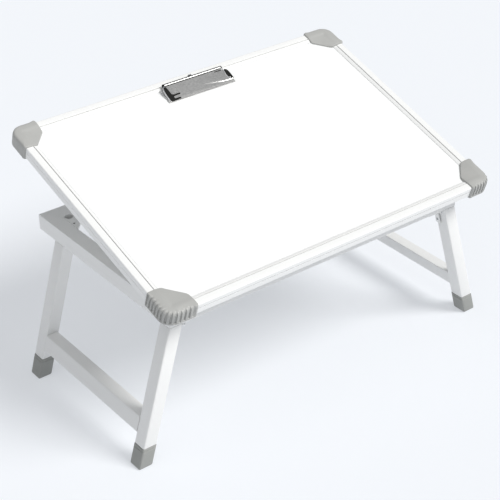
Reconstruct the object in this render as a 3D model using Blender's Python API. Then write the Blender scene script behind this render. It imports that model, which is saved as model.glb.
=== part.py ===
"""Portable drawing board: a tilting white board on a frame with two folding leg sets.

Metres, +Z up, +X to the right along the board's width, +Y to the back, floor at Z = 0.
The board is drawn in its own frame (x across, v up the slope, w out of the surface),
whose origin is the hinge axis, and an empty on that axis carries it at its tilt.
"""

import math

import bpy
from mathutils import Matrix, Vector

MM = 0.001
GAP = 0.3                 # clearance between neighbouring pieces, mm

# base frame, mm
Y0 = -125.93              # front face of the base
BASE_W = 434.0
BASE_D = 276.0
RAIL_W = 19.0
RAIL_LOW = 174.0
RAIL_TOP = 194.5
PLATE_LEG = 40.0          # corner plate, along the rails
PLATE_T = 3.0

# legs, mm
LEG_X = 18.0
LEG_Y = 19.0
SPLAY = 0.2898            # outward run per unit of height
REAR_LEG_Y = 222.6        # front face of the rear leg, from the front of the base
FOOT_H = 26.0
FOOT_PROUD = 0.4
STRETCHER_LOW = 38.5
STRETCHER_TOP = 58.3
STRETCHER_T = 15.8
LEG_AXIS_X = 196.0
LEG_AXIS_Z = 171.3
KNUCKLE_R = 2.2
PIN_R = 1.05
BORE_R = 1.12

# board, mm, in the board's own frame
TILT = 17.5               # degrees at rest
HINGE_Y = 9.5             # hinge axis, from the front of the base
HINGE_Z = 201.0
BOARD_W = 480.0
BOARD_D = 328.0
BOARD_T = 15.0
V_FRONT = -35.8           # front edge, from the hinge axis
W_LOW = 11.9              # underside, from the hinge axis
RIM = 9.0                 # flat top of the profile
LIP = 14.5                # where the profile's sloping lip ends
CAP_PROUD = 2.3
CAP_ALONG_SIDE = 40.0
CAP_ALONG_FRONT = 35.0
CAP_RADIUS = 16.0
CAP_WALL = 2.0
CAP_TOP = 1.8             # proud of the profile, above and below

# folding stay, mm, from the hinge axis
STAY_V = 137.6            # its pivot, up the board
STAY_W = 6.0
STAY_LENGTH = 118.55
STAY_SLOPE = 23.7         # degrees below level at rest
STAY_X = 112.0            # centre of each arm
TRACK_X = 120.0

# clip, mm, on the board
CLIP_X = 11.0             # centre, from the board's centre
CLIP_W = 100.0            # at the jaw
CLIP_EAR = 44.8           # half width over the ears that hold the pin
CLIP_BACK = 12.6          # pin, from the back edge of the board
CLIP_UP = 3.4             # pin, above the profile

WHITE = (0.80, 0.80, 0.79)
PANEL = (0.88, 0.89, 0.89)
GREY = (0.36, 0.36, 0.34)
DARK = (0.10, 0.10, 0.10)
CHROME = (0.62, 0.62, 0.61)
STEEL = (0.45, 0.45, 0.45)
CORE = (0.55, 0.50, 0.42)


def clear_scene():
    for thing in list(bpy.data.objects):
        bpy.data.objects.remove(thing, do_unlink=True)


clear_scene()
PARTS = bpy.data.collections.new("portable_drawing_board")
bpy.context.scene.collection.children.link(PARTS)
CUTTERS = bpy.data.collections.new("cutters")
CUTTERS.hide_render = True
bpy.context.scene.collection.children.link(CUTTERS)


def material(name, colour, roughness, metallic=0.0):
    made = bpy.data.materials.new(name)
    made.use_nodes = True
    shader = made.node_tree.nodes["Principled BSDF"]
    shader.inputs["Base Color"].default_value = (*colour, 1.0)
    shader.inputs["Roughness"].default_value = roughness
    shader.inputs["Metallic"].default_value = metallic
    made.diffuse_color = (*colour, 1.0)
    return made


PAINT = material("white_paint", WHITE, 0.45)
SHEET = material("dry_erase_sheet", PANEL, 0.25)
PLASTIC = material("grey_plastic", GREY, 0.5)
BLACK = material("black_plastic", DARK, 0.5)
SHINY = material("chrome", CHROME, 0.12, 1.0)
METAL = material("zinc_steel", STEEL, 0.4, 1.0)
FOAM = material("board_core", CORE, 0.8)


def pivot(name, where, tilt=0.0, parent=None):
    made = bpy.data.objects.new(name, None)
    made.empty_display_size = 0.02
    made.location = Vector(where) * MM
    made.rotation_euler = (math.radians(tilt), 0.0, 0.0)
    made.parent = parent
    PARTS.objects.link(made)
    return made


BOARD = pivot("board_pivot", (0.0, Y0 + HINGE_Y, HINGE_Z), TILT)
STAY = pivot("stay_pivot", (0.0, STAY_V, STAY_W), -TILT - STAY_SLOPE, BOARD)
PIN = (CLIP_X, V_FRONT + BOARD_D - CLIP_BACK, W_LOW + BOARD_T + CLIP_UP)
CLIP = pivot("clip_pivot", PIN, 0.0, BOARD)


def keep(name, data, mat, parent, group=None):
    made = bpy.data.objects.new(name, data)
    made.parent = parent
    if mat is not None:
        data.materials.append(mat)
    (group or PARTS).objects.link(made)
    if group is CUTTERS:
        made.display_type = "WIRE"
    return made


def outline(name, loops, low, high, along, mat, parent=None, group=None):
    """A flat closed outline (with holes) pushed from low to high along X, Y or Z.

    Its points are (y, z) along X, (x, z) along Y and (x, y) along Z.
    """
    data = bpy.data.curves.new(name, "CURVE")
    data.dimensions = "2D"
    data.fill_mode = "BOTH"
    data.extrude = (high - low) / 2 * MM
    for points in loops:
        spline = data.splines.new("POLY")
        spline.points.add(len(points) - 1)
        for spot, (a, b) in zip(spline.points, points):
            spot.co = (a * MM, b * MM, 0.0, 1.0)
        spline.use_cyclic_u = True
    made = keep(name, data, mat, parent, group)
    middle = (low + high) / 2 * MM
    if along == "X":
        made.matrix_local = Matrix(((0, 0, 1, middle), (1, 0, 0, 0), (0, 1, 0, 0), (0, 0, 0, 1)))
    elif along == "Y":
        made.matrix_local = Matrix(((1, 0, 0, 0), (0, 0, -1, middle), (0, 1, 0, 0), (0, 0, 0, 1)))
    else:
        made.matrix_local = Matrix.Translation((0.0, 0.0, middle))
    return made


def solid(made):
    """The same object as a mesh, welded, so that it can be cut."""
    bpy.context.view_layer.update()
    graph = bpy.context.evaluated_depsgraph_get()
    data = bpy.data.meshes.new_from_object(made.evaluated_get(graph))
    name = made.name
    group = made.users_collection[0]
    parent = made.parent
    matrix = made.matrix_local.copy()
    bpy.data.objects.remove(made, do_unlink=True)
    fresh = bpy.data.objects.new(name, data)
    fresh.parent = parent
    fresh.matrix_local = matrix
    group.objects.link(fresh)
    if group is CUTTERS:
        fresh.display_type = "WIRE"
    weld = fresh.modifiers.new("weld", "WELD")
    weld.merge_threshold = 0.000002
    return fresh


def box(name, low, high, mat, parent=None, group=None):
    a, b = Vector(low), Vector(high)
    loop = [(a.x, a.y), (b.x, a.y), (b.x, b.y), (a.x, b.y)]
    return outline(name, [loop], a.z, b.z, "Z", mat, parent, group)


def circle(a, b, radius, count=24):
    turns = [2 * math.pi * i / count for i in range(count)]
    return [(a + radius * math.cos(t), b + radius * math.sin(t)) for t in turns]


def arc(a, b, radius, start, end, count=8):
    turns = [math.radians(start + (end - start) * i / count) for i in range(count + 1)]
    return [(a + radius * math.cos(t), b + radius * math.sin(t)) for t in turns]


def cut(target, cutter):
    made = target.modifiers.new(cutter.name, "BOOLEAN")
    made.operation = "DIFFERENCE"
    made.solver = "EXACT"
    made.object = cutter


# ---------------------------------------------------------------- base frame

OUT = BASE_W / 2
INN = OUT - RAIL_W
FRONT = Y0
REAR = Y0 + BASE_D
MITRE = 0.15
for side, sign in (("left", -1), ("right", 1)):
    rail = [
        (sign * OUT, FRONT + MITRE),
        (sign * OUT, REAR - MITRE),
        (sign * INN, REAR - RAIL_W - MITRE),
        (sign * INN, FRONT + RAIL_W + MITRE),
    ]
    outline(f"side_rail_{side}", [rail], RAIL_LOW, RAIL_TOP, "Z", PAINT)
for place, outer, inner in (("front", FRONT, FRONT + RAIL_W), ("rear", REAR, REAR - RAIL_W)):
    rail = [(-OUT + MITRE, outer), (OUT - MITRE, outer), (INN - MITRE, inner), (-INN + MITRE, inner)]
    outline(f"{place}_rail", [rail], RAIL_LOW, RAIL_TOP, "Z", PAINT)
for place, edge, step in (("front", FRONT + RAIL_W, 1), ("rear", REAR - RAIL_W, -1)):
    for side, sign in (("left", -1), ("right", 1)):
        x = sign * (INN - GAP)
        y = edge + step * GAP
        triangle = [(x, y), (x - sign * PLATE_LEG, y), (x, y + step * PLATE_LEG)]
        big = circle(x - sign * 6.6, y + step * 9.0, 5.4)
        small = circle(x - sign * 3.4, y + step * 26.4, 1.6, 12)
        outline(
            f"corner_plate_{place}_{side}",
            [triangle, big, small],
            RAIL_TOP - PLATE_T,
            RAIL_TOP,
            "Z",
            PAINT,
        )

# ---------------------------------------------------------------- leg sets


def slanted(sign, low, high, proud=0.0, thick=LEG_X):
    """Section of a splayed leg between two heights, as (x, z) points."""
    outer_low = OUT + (RAIL_LOW - low) * SPLAY + proud
    outer_high = OUT + (RAIL_LOW - high) * SPLAY + proud
    inner_low = outer_low - thick - 2 * proud
    inner_high = outer_high - thick - 2 * proud
    points = [(outer_low, low), (outer_high, high), (inner_high, high), (inner_low, low)]
    return [(sign * x, z) for x, z in points]


def leaf(centre, along, across, far_edge, near_edge, length):
    """Half of a hinge: a plate that leaves its knuckle, in the plane across the pin."""
    c = Vector(centre)
    d = Vector(along).normalized()
    n = Vector(across).normalized()
    start = math.asin(near_edge / KNUCKLE_R)
    end = math.asin(min(1.0, far_edge / KNUCKLE_R)) - 2 * math.pi
    turns = [start + (end - start) * i / 20 for i in range(21)]
    points = [c + d * length + n * far_edge, c + d * length + n * near_edge]
    points += [c + d * KNUCKLE_R * math.cos(t) + n * KNUCKLE_R * math.sin(t) for t in turns]
    return [tuple(point) for point in points]


LEG_TOP = RAIL_LOW - GAP
DOWN = Vector((-SPLAY, -1.0)).normalized()
for side, sign in (("left", -1), ("right", 1)):
    legs = (("front", 0.0), ("rear", REAR_LEG_Y))
    for place, start in legs:
        y = Y0 + start
        outline(
            f"{side}_{place}_leg",
            [slanted(sign, FOOT_H + GAP, LEG_TOP)],
            y,
            y + LEG_Y,
            "Y",
            PAINT,
        )
        outline(
            f"{side}_{place}_foot",
            [slanted(sign, 0.0, FOOT_H, FOOT_PROUD)],
            y - FOOT_PROUD,
            y + LEG_Y + FOOT_PROUD,
            "Y",
            PLASTIC,
        )
        centre = (sign * LEG_AXIS_X, LEG_AXIS_Z)
        down = (-sign * DOWN.x, DOWN.y)
        outward = (-sign * DOWN.y, -DOWN.x)
        bore = circle(*centre, BORE_R)
        outline(
            f"{side}_{place}_hinge_leaf",
            [leaf(centre, down, outward, KNUCKLE_R, 1.0, 24.0), bore],
            y + 10.0,
            y + 17.6,
            "Y",
            PAINT,
        )
        if place == "front":
            fixed = leaf(centre, (-sign, 0.0), (0.0, 1.0), KNUCKLE_R, 1.0, 22.0)
        else:
            fixed = leaf(centre, (0.0, 1.0), (sign, 0.0), 1.7, 0.5, 17.0)
        outline(
            f"{side}_{place}_hinge_plate",
            [fixed, bore],
            y + 1.4,
            y + 9.4,
            "Y",
            PAINT,
        )
        outline(
            f"{side}_{place}_hinge_pin",
            [circle(*centre, PIN_R)],
            y + 0.8,
            y + 18.2,
            "Y",
            METAL,
        )
    outer = slanted(sign, STRETCHER_LOW, STRETCHER_TOP, 0.0, STRETCHER_T)
    outline(
        f"{side}_stretcher",
        [outer],
        Y0 + LEG_Y + GAP,
        Y0 + REAR_LEG_Y - GAP,
        "Y",
        PAINT,
    )

# ---------------------------------------------------------------- drawing board

V_BACK = V_FRONT + BOARD_D
W_TOP = W_LOW + BOARD_T
HALF = BOARD_W / 2
PROFILE = [
    (0.0, 1.5), (0.9, 0.4), (1.8, 0.0), (14.5, 0.0), (14.5, 1.5), (1.8, 1.5), (1.8, 13.1),
    (14.5, 13.1), (14.5, 13.6), (9.9, 15.0), (9.9, 14.4), (9.0, 14.4), (9.0, 15.0),
    (2.6, 15.0), (1.2, 14.6), (0.3, 13.6), (0.0, 12.4),
]
CLEAR = CAP_RADIUS - CAP_PROUD + 0.8      # profiles stop this far from each corner
for side, sign in (("left", -1), ("right", 1)):
    section = [(sign * (HALF - s), W_LOW + w) for s, w in PROFILE]
    outline(f"profile_{side}", [section], V_FRONT + CLEAR, V_BACK - CLEAR, "Y", PAINT, BOARD)
for place, edge, step in (("front", V_FRONT, 1), ("back", V_BACK, -1)):
    section = [(edge + step * s, W_LOW + w) for s, w in PROFILE]
    outline(f"profile_{place}", [section], -HALF + LIP + GAP, HALF - LIP - GAP, "X", PAINT, BOARD)


def clipped(inset, corner):
    """Rectangle with its four corners cut off, for what lies inside the profiles."""
    x, a, b = HALF - inset, V_FRONT + inset, V_BACK - inset
    return [
        (x - corner, a), (x, a + corner), (x, b - corner), (x - corner, b),
        (-x + corner, b), (-x, b - corner), (-x, a + corner), (-x + corner, a),
    ]


LAYER = clipped(2.2, 7.0)
outline("board_core", [LAYER], W_LOW + 1.8, W_LOW + 11.8, "Z", FOAM, BOARD)
# the sheet is 0.2 mm thinner where it runs under the profiles, the caps and the clip, so that
# its upper face is only what a sheet of paper can lie on
FACE = []
for sign, end, turn in ((1, V_FRONT, 1), (1, V_BACK, -1), (-1, V_BACK, 1), (-1, V_FRONT, -1)):
    step = 1 if end == V_FRONT else -1
    spots = [(37.0, 14.9), (37.0, 20.6), (17.6, 40.0), (14.9, 41.0)][::turn]
    FACE += [(sign * (HALF - a), end + step * b) for a, b in spots]
    if sign == 1 and end == V_BACK:
        FACE += [(CLIP_X + 51.2, V_BACK - 14.9), (CLIP_X + 51.2, V_BACK - 39.0)]
        FACE += [(CLIP_X - 51.2, V_BACK - 39.0), (CLIP_X - 51.2, V_BACK - 14.9)]
sheet = solid(outline("writing_surface", [LAYER], W_LOW + 12.1, W_LOW + 12.8, "Z", SHEET, BOARD))
around = [(-260.0, V_FRONT - 20.0), (260.0, V_FRONT - 20.0), (260.0, V_BACK + 20.0), (-260.0, V_BACK + 20.0)]
cutter = solid(
    outline(
        "writing_surface_edge", [around, FACE], W_LOW + 12.6, W_LOW + 14.0, "Z", None, BOARD, CUTTERS
    )
)
cut(sheet, cutter)

for place, edge, step in (("front", V_FRONT, 1), ("back", V_BACK, -1)):
    for side, sign in (("left", -1), ("right", 1)):

        def spot(a, b):
            return (sign * (HALF - a), edge + step * b)

        middle = CAP_RADIUS - CAP_PROUD
        shape = [(-CAP_PROUD, 37.5), (-1.2, 39.6), (1.6, CAP_ALONG_SIDE), (14.5, CAP_ALONG_SIDE)]
        shape += [(18.0, 38.4), (35.0, 21.6), (36.0, 18.5), (36.0, 1.0), (34.6, -1.5), (32.0, -CAP_PROUD)]
        shape += arc(middle, middle, CAP_RADIUS, 270, 180, 10)
        name = f"corner_cap_{place}_{side}"
        cap = solid(
            outline(
                name,
                [[spot(a, b) for a, b in shape]],
                W_LOW - CAP_TOP,
                W_TOP + CAP_TOP,
                "Z",
                PLASTIC,
                BOARD,
            )
        )
        hollow = [(60.0, 60.0), (-GAP, 60.0)]
        hollow += arc(middle, middle, CAP_RADIUS - CAP_WALL, 180, 270, 10)
        hollow += [(60.0, -GAP)]
        cutter = solid(
            outline(
                f"{name}_hollow",
                [[spot(a, b) for a, b in hollow]],
                W_LOW - GAP,
                W_TOP + GAP,
                "Z",
                None,
                BOARD,
                CUTTERS,
            )
        )
        cut(cap, cutter)

# hinges between the board and the base
for side, sign in (("left", -1), ("right", 1)):
    x = sign * 150.0
    lug = [(-16.0, 11.6), (-16.0, 10.2), (-4.4, 10.2)]
    lug += arc(0.0, 0.0, 4.4, 180, 360, 12)
    lug += [(4.4, 10.2), (18.0, 10.2), (18.0, 11.6)]
    outline(f"board_hinge_{side}", [lug, circle(0, 0, 2.08)], x - 7.0, x + 7.0, "X", METAL, BOARD)
    y = Y0 + HINGE_Y
    ears = [(y - 8.6, RAIL_TOP + GAP), (y + 8.6, RAIL_TOP + GAP), (y + 8.6, RAIL_TOP + 1.5)]
    ears += [(y + 4.4, RAIL_TOP + 1.5)]
    ears += arc(y, HINGE_Z, 4.4, 0, 180, 12)
    ears += [(y - 4.4, RAIL_TOP + 1.5), (y - 8.6, RAIL_TOP + 1.5)]
    bracket = solid(
        outline(
            f"base_hinge_{side}",
            [ears, circle(y, HINGE_Z, 2.08)],
            x - 14.0,
            x + 14.0,
            "X",
            METAL,
        )
    )
    slot = solid(
        box(
            f"base_hinge_{side}_slot",
            (x - 7.3, y - 20.0, RAIL_TOP + 1.5),
            (x + 7.3, y + 20.0, HINGE_Z + 20.0),
            None,
            None,
            CUTTERS,
        )
    )
    cut(bracket, slot)
    outline(f"hinge_pin_{side}", [circle(y, HINGE_Z, 2.0)], x - 15.0, x + 15.0, "X", METAL)

# folding stay
for side, sign in (("left", -1), ("right", 1)):
    x = sign * STAY_X
    plate = [
        (STAY_V - 14.0, 11.6), (STAY_V - 14.0, 10.2), (STAY_V - 4.6, 10.2), (STAY_V - 4.0, 5.0),
    ]
    plate += arc(STAY_V, STAY_W, 4.0, 194, 346, 8)
    plate += [(STAY_V + 4.6, 10.2), (STAY_V + 14.0, 10.2), (STAY_V + 14.0, 11.6)]
    near, far = sorted((x - sign * 8.0, x - sign * 1.7))
    outline(
        f"stay_bracket_{side}",
        [plate, circle(STAY_V, STAY_W, 2.08)],
        near,
        far,
        "X",
        METAL,
        BOARD,
    )
    near, far = sorted((x - sign * 8.6, x + sign * 2.4))
    outline(
        f"stay_pin_{side}",
        [circle(STAY_V, STAY_W, 2.0)],
        near,
        far,
        "X",
        METAL,
        BOARD,
    )
    bar = arc(0.0, 0.0, 4.6, 90, 270, 10) + arc(STAY_LENGTH, 0.0, 4.6, -90, 90, 10)
    outline(
        f"stay_arm_{side}",
        [bar, circle(0, 0, 2.2), circle(STAY_LENGTH, 0, 2.9)],
        x - 1.25,
        x + 1.25,
        "X",
        METAL,
        STAY,
    )
    near, far = sorted((x + sign * 11.2, x + sign * 17.2))
    outline(
        f"stay_knob_{side}",
        [circle(STAY_LENGTH, 0, 5.4, 20), circle(STAY_LENGTH, 0, 2.9)],
        near,
        far,
        "X",
        BLACK,
        STAY,
    )
    web_y = Y0 + HINGE_Y
    track_low = RAIL_TOP + GAP
    ends = (web_y + 190.0, web_y + 260.0)
    slot = arc(ends[0], HINGE_Z, 3.3, 90, 270, 8) + arc(ends[1], HINGE_Z, 3.3, -90, 90, 8)
    web = [
        (ends[0] - 6.0, HINGE_Z + 5.6), (ends[0] - 6.0, HINGE_Z - 5.6), (web_y + 226.0, 178.0),
        (web_y + 247.0, 178.0), (web_y + 247.0, track_low), (web_y + 266.0, track_low),
        (web_y + 266.0, HINGE_Z + 5.6),
    ]
    a = sign * TRACK_X
    outline(f"stay_track_{side}", [web, slot], a - 1.0, a + 1.0, "X", METAL)
outline(
    "stay_rod",
    [circle(STAY_LENGTH, 0, 2.5)],
    -STAY_X - 18.0,
    STAY_X + 18.0,
    "X",
    METAL,
    STAY,
)

# paper clip near the back edge of the board, drawn about its pin
base = [(-20.4, -5.35), (-2.6, -5.35), (-2.6, -4.4), (-1.0, -2.5)]
base += arc(0.0, 0.0, 2.3, -65, 150, 12)
base += [(-7.0, -1.5), (-14.0, -4.6), (-20.4, -4.6)]
clip_base = solid(
    outline("clip_base", [base, circle(0, 0, 1.38)], -CLIP_EAR, CLIP_EAR, "X", SHINY, CLIP)
)
inside = solid(
    box(
        "clip_base_inside",
        (-CLIP_EAR + 1.2, -30.0, -4.6),
        (CLIP_EAR - 1.2, 10.0, 10.0),
        None,
        CLIP,
        CUTTERS,
    )
)
cut(clip_base, inside)
outline("clip_pin", [circle(0.0, 0.0, 1.3)], -CLIP_EAR, CLIP_EAR, "X", METAL, CLIP)
jaw = [(-25.4, -5.3), (-23.0, -5.0), (-20.5, -3.3), (-15.6, -0.5), (-8.0, 1.2), (-3.2, 1.5)]
jaw += arc(0.0, 0.0, 2.3, 170, 455, 16)
jaw += [(-8.0, 2.0), (-16.0, 0.3), (-21.0, -2.6), (-23.4, -4.3), (-25.4, -4.6)]
lever = solid(
    outline("clip_lever", [jaw, circle(0.0, 0.0, 1.38)], -CLIP_W / 2, CLIP_W / 2, "X", SHINY, CLIP)
)
for side, sign in (("left", -1), ("right", 1)):
    notch = [(CLIP_EAR - 1.6, 9.0), (60.0, 9.0), (60.0, -20.0), (CLIP_W / 2, -19.5), (CLIP_EAR - 1.6, -12.0)]
    cutter = solid(
        outline(
            f"clip_lever_{side}_notch",
            [[(sign * a, b) for a, b in notch]],
            -12.0,
            12.0,
            "Z",
            None,
            CLIP,
            CUTTERS,
        )
    )
    cut(lever, cutter)
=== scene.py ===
import math

import bmesh
import bpy
from mathutils import Matrix, Vector


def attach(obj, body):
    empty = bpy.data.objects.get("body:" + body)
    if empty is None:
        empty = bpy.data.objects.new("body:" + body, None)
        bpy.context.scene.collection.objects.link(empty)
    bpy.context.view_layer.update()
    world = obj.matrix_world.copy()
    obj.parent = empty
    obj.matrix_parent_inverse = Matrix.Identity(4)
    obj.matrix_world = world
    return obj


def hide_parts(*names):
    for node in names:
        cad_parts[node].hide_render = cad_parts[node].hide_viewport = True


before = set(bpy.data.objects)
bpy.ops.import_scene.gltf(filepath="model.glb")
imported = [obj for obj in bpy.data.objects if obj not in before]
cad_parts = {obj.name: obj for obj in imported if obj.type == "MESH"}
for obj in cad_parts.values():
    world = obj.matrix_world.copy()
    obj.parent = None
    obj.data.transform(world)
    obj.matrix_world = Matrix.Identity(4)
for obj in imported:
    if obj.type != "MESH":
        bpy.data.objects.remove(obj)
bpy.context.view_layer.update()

# Measures are in mm: x to the right, y from front to back, z up from the floor.
MM = 0.001
SIDES = (("left", -1), ("right", 1))

# base frame
FRONT = -125.93
REAR = FRONT + 276.0
OUT, INN = 217.0, 198.0           # outer and inner face of the side rails
RAIL_LOW, RAIL_TOP = 174.0, 194.5
RAIL_WIDE = 19.0                  # the legs are as wide, from front to back

# drawing board, measured from its hinge axis
TILT = math.radians(17.5)
COS, SIN = math.cos(TILT), math.sin(TILT)
AXIS_Y, AXIS_Z = FRONT + 9.5, 201.0
HALF = 240.0                      # half of its width
VF, VB = -35.8, 292.2             # front and back edge, up the slope
LOW, TOP = 11.9, 26.9             # underside and rim, out of the surface

# screws, pins and plates of the board's hinges and of the stay
PIN_RADIUS, BORE_RADIUS = 2.0, 2.08
SCREW_FACE = 10.2                 # face of the lugs that their screws stand on


def board(x, v, w):
    """Board frame (across, up the slope, out of the surface) to the row frame, mm."""
    return (x, AXIS_Y + v * COS - w * SIN, AXIS_Z + v * SIN + w * COS)


def plain(x, y, z):
    return (x, y, z)


# ---------------------------------------------------------------- materials

NOISE_LOW, NOISE_HIGH = 0.3, 0.7  # the values that a noise texture mostly keeps between


class Nodes:
    """A material with a Principled shader and textures in object coordinates."""

    def __init__(self, name, colour, roughness, metallic=0.0):
        self.mat = bpy.data.materials.new(name)
        self.mat.use_nodes = True
        self.tree = self.mat.node_tree
        self.shader = self.tree.nodes["Principled BSDF"]
        self.set("Base Color", (*colour, 1.0))
        self.set("Roughness", roughness)
        self.set("Metallic", metallic)
        self.coord = self.tree.nodes.new("ShaderNodeTexCoord")

    def set(self, socket, value):
        self.shader.inputs[socket].default_value = value

    def noise(self, scale, detail=4.0, stretch=(1.0, 1.0, 1.0)):
        mapping = self.tree.nodes.new("ShaderNodeMapping")
        mapping.inputs["Scale"].default_value = stretch
        made = self.tree.nodes.new("ShaderNodeTexNoise")
        made.inputs["Scale"].default_value = scale
        made.inputs["Detail"].default_value = detail
        self.tree.links.new(self.coord.outputs["Object"], mapping.inputs["Vector"])
        self.tree.links.new(mapping.outputs["Vector"], made.inputs["Vector"])
        return made.outputs["Fac"]

    def spread(self, source, low, high):
        made = self.tree.nodes.new("ShaderNodeMapRange")
        made.inputs["From Min"].default_value = NOISE_LOW
        made.inputs["From Max"].default_value = NOISE_HIGH
        made.inputs["To Min"].default_value = low
        made.inputs["To Max"].default_value = high
        self.tree.links.new(source, made.inputs["Value"])
        return made.outputs["Result"]

    def mix(self, source, one, two):
        made = self.tree.nodes.new("ShaderNodeMix")
        made.data_type = "RGBA"
        made.inputs["A"].default_value = (*one, 1.0)
        made.inputs["B"].default_value = (*two, 1.0)
        self.tree.links.new(self.spread(source, 0.0, 1.0), made.inputs["Factor"])
        self.tree.links.new(made.outputs["Result"], self.shader.inputs["Base Color"])

    def rough(self, source, low, high):
        self.tree.links.new(self.spread(source, low, high), self.shader.inputs["Roughness"])

    def bump(self, source, strength, distance):
        made = self.tree.nodes.new("ShaderNodeBump")
        made.inputs["Strength"].default_value = strength
        made.inputs["Distance"].default_value = distance
        self.tree.links.new(source, made.inputs["Height"])
        self.tree.links.new(made.outputs["Normal"], self.shader.inputs["Normal"])

    def coat(self, weight, roughness):
        self.set("Coat Weight", weight)
        self.set("Coat Roughness", roughness)


def darker(colour, share):
    return tuple(share * c for c in colour)


def make_paint(name, colour, roughness):
    made = Nodes(name, colour, roughness)
    fine = made.noise(900.0, 3.0)
    made.mix(made.noise(14.0, 3.0), colour, darker(colour, 0.985))
    made.rough(made.noise(40.0), roughness - 0.04, roughness + 0.05)
    made.bump(fine, 0.06, 0.0001)
    made.coat(0.15, 0.25)
    return made.mat


def make_plastic(name, colour, roughness, grain=0.25, shine=0.5):
    made = Nodes(name, colour, roughness)
    made.set("Specular IOR Level", shine)
    made.mix(made.noise(25.0, 5.0), colour, darker(colour, 0.96))
    made.rough(made.noise(60.0), roughness - 0.05, roughness + 0.06)
    made.bump(made.noise(2200.0, 2.0), grain, 0.00008)
    return made.mat


def make_metal(name, colour, roughness, stretch=(1.0, 1.0, 1.0)):
    made = Nodes(name, colour, roughness, 1.0)
    streaks = made.noise(300.0, 5.0, stretch)
    made.mix(made.noise(30.0, 4.0), colour, darker(colour, 0.93))
    made.rough(streaks, roughness * 0.8, roughness * 1.3)
    made.bump(streaks, 0.03, 0.00005)
    return made.mat


def make_sheet(name, colour, other, roughness):
    made = Nodes(name, colour, roughness)
    made.mix(made.noise(6.0, 3.0), colour, other)
    made.rough(made.noise(18.0, 5.0), 0.19, 0.27)
    made.bump(made.noise(500.0, 2.0), 0.02, 0.00005)
    made.coat(0.3, 0.12)
    return made.mat


WHITE = make_paint("white_powder_coat", (0.83, 0.83, 0.82), 0.4)
PROFILE = make_paint("white_profile_paint", (0.86, 0.86, 0.85), 0.34)
# dark and mid-grey strips for the floors of the profiles' grooves and seam: painted shade
GROOVE = make_plastic("profile_groove_shadow", (0.30, 0.30, 0.30), 0.6)
GROOVE_FAINT_SHADE = make_plastic("profile_groove_painted_faint_shade", (0.62, 0.62, 0.61), 0.6)
GREY = make_plastic("grey_corner_plastic", (0.42, 0.42, 0.405), 0.5)
FOOT = make_plastic("grey_foot_plastic", (0.32, 0.325, 0.31), 0.6)
BLACK = make_plastic("black_plastic", (0.018, 0.018, 0.018), 0.45)
CHROME = make_metal("clip_chrome", (0.80, 0.79, 0.77), 0.21, (1.0, 12.0, 1.0))
# lighter, glossier copy of the jaw's steel: painted highlight on its bent edges
HIGHLIGHT_STEEL = make_metal("clip_edge_painted_highlight", (0.86, 0.86, 0.86), 0.12)
# darker copy of the jaw's steel: painted shade on its roll
SHADED_ROLL_STEEL = make_metal("clip_roll_painted_shade", (0.46, 0.46, 0.45), 0.34, (1.0, 12.0, 1.0))
# near-black fill for holes, gaps, slots and the clip's ends and base plate: painted shade
SHADE_BLACK = make_plastic("painted_shade_black", (0.012, 0.012, 0.011), 0.5, 0.1, 0.1)
ZINC = make_metal("zinc_steel", (0.56, 0.57, 0.58), 0.34, (1.0, 1.0, 6.0))
BACKING = make_plastic("board_backing", (0.62, 0.62, 0.60), 0.6)
# near-black: painted shade in the screws' cross recesses
SCREW_CROSS_SHADE = make_plastic("screw_slot_painted_shade", (0.03, 0.03, 0.03), 0.6)
SHEET = make_sheet("dry_erase_sheet", (0.90, 0.905, 0.90), (0.89, 0.895, 0.895), 0.22)

# ---------------------------------------------------------------- mesh tools

TINY = 1e-9


def finish_mesh(name, bm, mat, body, replaces=(), place=plain, smooth=35.0):
    """Turn a mesh in mm into a piece. Edges sharper than smooth degrees stay sharp, 0 is flat."""
    for vert in bm.verts:
        vert.co = Vector(place(*vert.co)) * MM
    bmesh.ops.remove_doubles(bm, verts=bm.verts, dist=0.0000005)
    bmesh.ops.recalc_face_normals(bm, faces=bm.faces)
    data = bpy.data.meshes.new(name)
    bm.to_mesh(data)
    bm.free()
    data.materials.append(mat)
    for face in data.polygons:
        face.use_smooth = smooth > 0
    if smooth > 0:
        data.set_sharp_from_angle(angle=math.radians(smooth))
    made = bpy.data.objects.new(name, data)
    bpy.context.scene.collection.objects.link(made)
    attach(made, body)
    if replaces:
        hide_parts(*replaces)


def loft(bm, rings, cap=True):
    """Skin between rings of the same number of points. Gives the rows and the last end face."""
    rows = [[bm.verts.new(point) for point in ring] for ring in rings]
    count = len(rows[0])
    for one, two in zip(rows, rows[1:]):
        for i in range(count):
            j = (i + 1) % count
            bm.faces.new((one[i], one[j], two[j], two[i]))
    if not cap:
        return rows, None
    bm.faces.new(list(reversed(rows[0])))
    return rows, bm.faces.new(rows[-1])


def lofted(*rings):
    """A mesh of its own that is one loft."""
    bm = bmesh.new()
    loft(bm, rings)
    return bm


def rounded(a0, a1, b0, b1, radius, count=5):
    """Rounded rectangle, counter-clockwise, as (a, b) points."""
    spots = []
    corners = (
        (a1 - radius, b0 + radius, -90), (a1 - radius, b1 - radius, 0),
        (a0 + radius, b1 - radius, 90), (a0 + radius, b0 + radius, 180),
    )
    for a, b, start in corners:
        spots += arc(a, b, radius, start, start + 90.0, count)
    return spots


def circle(a, b, radius, count=28):
    turns = [2 * math.pi * i / count for i in range(count)]
    return [(a + radius * math.cos(t), b + radius * math.sin(t)) for t in turns]


def arc(a, b, radius, start, end, count):
    """Points along an arc, with its angles in degrees."""
    turns = [math.radians(start + (end - start) * i / count) for i in range(count + 1)]
    return [(a + radius * math.cos(t), b + radius * math.sin(t)) for t in turns]


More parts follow.
